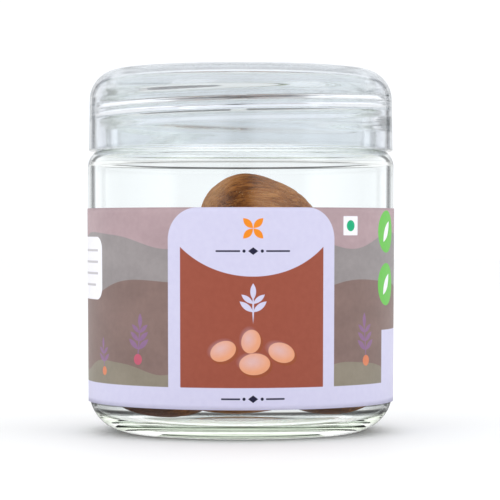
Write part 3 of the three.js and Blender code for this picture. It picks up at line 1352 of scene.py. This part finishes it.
@dataclass(frozen=True)
class Heap:
    """The eight loose nutmegs, each where its node lies."""

    nutmegs: tuple[Nutmeg, ...] = (
        # The ninth value is the tone: nutmeg_floor_left and nutmeg_floor_right have it set low as painted
        # shade, as they lie in the shade low in the jar.
        Nutmeg("nutmeg_floor_left", (-14.5, -11.1, 12.9), 135, 1, 40, 13.0, 10.3, 11, -0.35),
        Nutmeg("nutmeg_floor_right", (17.6, 4.1, 13.0), -73, 0, 201, 12.9, 10.4, 21, -0.1),
        Nutmeg("nutmeg_floor_back", (-0.3, 17.5, 13.3), 205, -2, 110, 13.0, 10.4, 31, 0.4),
        Nutmeg("nutmeg_centre", (1.4, -3.1, 23.1), -67, 0, 299, 13.1, 11.1, 41, 0.6),
        Nutmeg("nutmeg_left", (-15.8, -9.5, 32.5), 114, -4, 75, 12.8, 10.2, 51, 0.5),
        Nutmeg("nutmeg_back_left", (-13.8, 12.0, 29.1), 23, 54, 251, 13.2, 10.2, 61, 0.3),
        Nutmeg("nutmeg_back", (9.6, 15.0, 30.4), -20, -17, 159, 13.2, 10.3, 71, 0.6),
        Nutmeg("nutmeg_top", (4.0, -17.2, 39.2), 159, 28, 20, 13.0, 10.0, 1040, 0.5, TOP_SWELLS, True),
    )
    finish: NutmegFinish = NutmegFinish()


# ---- The studio ----


@dataclass(frozen=True)
class Camera:
    """The camera, a little right of the axis and at the height of the label's upper part, in metres."""

    at: Triple = (0.0018, -0.492, 0.0392)
    dip: float = 0.446
    lens: float = 180.4
    sensor: float = 36.0
    reach: Pair = (0.01, 20.0)

    def build(self) -> None:
        """Places the camera, level but for its dip in degrees, and makes it the scene's."""
        data = bpy.data.cameras.new("camera")
        data.lens, data.sensor_width = self.lens, self.sensor
        data.clip_start, data.clip_end = self.reach
        camera = add_object("camera", data)
        camera.location = self.at
        camera.rotation_euler = (math.pi / 2 - math.radians(self.dip), 0.0, 0.0)
        bpy.context.scene.camera = camera


@dataclass(frozen=True)
class Lamp:
    """A soft square lamp that faces the middle of the jar, in metres."""

    name: str
    at: Triple
    size: float
    watts: float
    target: Triple = (0.0, 0.0, 0.035)

    def build(self) -> None:
        """Places the lamp and turns it."""
        data = bpy.data.lights.new(self.name, "AREA")
        data.size, data.energy = self.size, self.watts
        x, y, z = np.array(self.at) - np.array(self.target)
        lamp = add_object(self.name, data)
        lamp.location = self.at
        lamp.rotation_euler = (math.atan2(math.hypot(x, y), z), 0.0, math.atan2(x, -y))


@dataclass(frozen=True)
class Studio:
    """A white table, a surround of light with darker flags, soft lamps and the camera, in metres.

    A field whose name ends in edge, end or start is where a field of light gives way to the next:
    distances from the axis on the table, and shares of the direction in the surround.
    """

    table_half: float = 3.0
    table_colour: Triple = (0.885, 0.88, 0.868)
    table_roughness: float = 0.6
    table_echo: float = 1.0
    foot_echo: float = 1.6
    shade: float = 0.08
    shade_start: Pair = (0.022, 0.024)
    shade_end: Pair = (0.03, 0.12)
    light_colour: Triple = (0.97, 0.99, 1.015)
    backdrop: float = 1.1
    backdrop_echo: float = 1.03
    backdrop_fall: float = 0.15
    fall_edge: Pair = (0.03, 0.14)
    flag: float = 0.25
    flag_edge: Pair = (0.38, 0.43)
    middle_edge: Pair = (-0.2, 0.2)
    side: float = 1.28
    side_start: Pair = (0.53, 0.6)
    side_edge: Pair = (-0.66, -0.54)
    front: float = 0.68
    slot: float = 0.05
    slot_edge: Pair = (0.05, 0.28)
    slot_end: Pair = (0.1, 0.2)
    under: float = 0.1
    under_edge: Pair = (0.0, -0.006)
    overhead: float = 1.2
    overhead_edge: Pair = (0.4, 0.48)
    light_bounces: int = 32
    camera: Camera = Camera()
    lamps: tuple[Lamp, ...] = (
        Lamp("lamp_left", (-0.7, -0.8, 0.75), 0.7, 1.78),
        Lamp("lamp_right", (0.9, -0.6, 0.6), 0.6, 1.12),
        Lamp("lamp_top", (0.0, 0.3, 1.2), 0.9, 0.9),
    )

    def build(self) -> None:
        """Builds everything, and lets light cross many clear walls."""
        paths = bpy.context.scene.cycles
        for kind in ("max_bounces", "glossy_bounces", "transmission_bounces", "transparent_max_bounces"):
            setattr(paths, kind, self.light_bounces)
        self._table()
        self._surround()
        for fitting in (*self.lamps, self.camera):
            fitting.build()

    def _table(self) -> None:
        """Lays the table.

        To the camera and as a source of bounced light it is plain white. Straight through glass and
        in reflections it is a sheet that glows evenly, brighter under the jar's foot, with a ring of
        shade round it.
        """
        edge = self.table_half
        mesh = bpy.data.meshes.new("table")
        mesh.from_pydata([(-edge, -edge, 0), (edge, -edge, 0), (edge, edge, 0), (-edge, edge, 0)],
                         [], [(0, 1, 2, 3)])
        table = add_object("table", mesh)
        material, tree = new_material("pale_table")
        plain = {"Base Color": (*self.table_colour, 1.0), "Roughness": self.table_roughness}
        body = tree.node("BsdfPrincipled", inputs=plain)
        x, y, _ = tree.split(tree.place())
        away = (x * x + y * y).root()
        level = away.rise(*self.shade_start) * (self.shade - self.foot_echo) + self.foot_echo
        level = level + away.rise(*self.shade_end) * (self.table_echo - self.shade)
        echo = tree.node("Emission", inputs={"Strength": level})
        path = tree.node("LightPath").outputs
        seen = (Signal(tree, path["Is Camera Ray"]) + Signal(tree, path["Diffuse Depth"])).clamped()
        both = tree.node("MixShader", inputs={0: seen, 1: echo, 2: body})
        tree.node("OutputMaterial", inputs={"Surface": both})
        coat(table, material)

    def _surround(self) -> None:
        """Lights the world round the jar, by direction.

        The camera itself sees plain white all round. Other rays, which come through glass or off it,
        meet a bright backdrop behind the jar, between two dark flags. In front is a dimmer wall with
        a dark slot in its middle. Soft boxes stand to both sides and above. What lies under the
        horizon, past the table's edge, is dark.
        """
        world = bpy.data.worlds.new("studio")
        bpy.context.scene.world = world
        world.use_nodes = True
        tree = Tree(world.node_tree)
        x, y, z = tree.split(tree.node("TexCoord").outputs["Generated"])
        aside = abs(x)
        backdrop = self.backdrop_echo - aside.rise(*self.fall_edge) * self.backdrop_fall
        behind = backdrop.towards(self.flag, aside.rise(*self.flag_edge))
        beside = 1.0 - (1.0 - aside.rise(*self.slot_edge)) * (1.0 - abs(z).rise(*self.slot_end))
        ahead = beside * (self.front - self.slot) + self.slot
        level = ahead.towards(behind, y.rise(*self.middle_edge))
        level = level.towards(self.side, aside.rise(*self.side_start) * y.rise(*self.side_edge))
        level = level.towards(self.overhead, z.rise(*self.overhead_edge))
        level = level.towards(self.under, z.rise(*self.under_edge))
        level = level.towards(self.backdrop, Signal(tree, tree.node("LightPath").outputs["Is Camera Ray"]))
        light = tree.node("Background", inputs={"Color": (*self.light_colour, 1.0), "Strength": level})
        tree.node("OutputWorld", inputs={"Surface": light})


def fit(piece: bpy.types.Object, node: str) -> None:
    """Ties a piece to the frame and reports it.

    Args:
        piece: The finished piece.
        node: The CAD node that it stands for.
    """
    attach(piece, BODY)
    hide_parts(node)
    triangles = sum(len(p.vertices) - 2 for p in piece.data.polygons)
    log.info("%s stands for %s, with %d triangles", piece.name, node, triangles)


def main() -> None:
    """Builds the studio, the jar, its lid and label, and the nutmegs."""
    logging.basicConfig(level=logging.INFO, format="%(name)s: %(message)s")
    bpy.context.scene.view_settings.view_transform = "Standard"
    Studio().build()
    jar = GlassJar(Room.of("glass_jar"))
    parts: list[tuple[Any, str, Slot]] = [
        (jar, "glass_jar", Slot.JAR_GLASS),
        (ScrewLid(Room.of("jar_lid")), "jar_lid", Slot.LID_PLASTIC),
        (WrapLabel(Room.of("wrap_label"), jar), "wrap_label", Slot.LABEL_FILM),
    ]
    for part, node, slot in parts:
        piece = part.build()
        part.dress(piece)
        fit(piece, node)
    heap = Heap()
    skin = heap.finish.material()
    for nutmeg in heap.nutmegs:
        piece = nutmeg.build()
        coat(piece, skin)
        fit(piece, nutmeg.node)


if __name__ == "__main__":
    main()
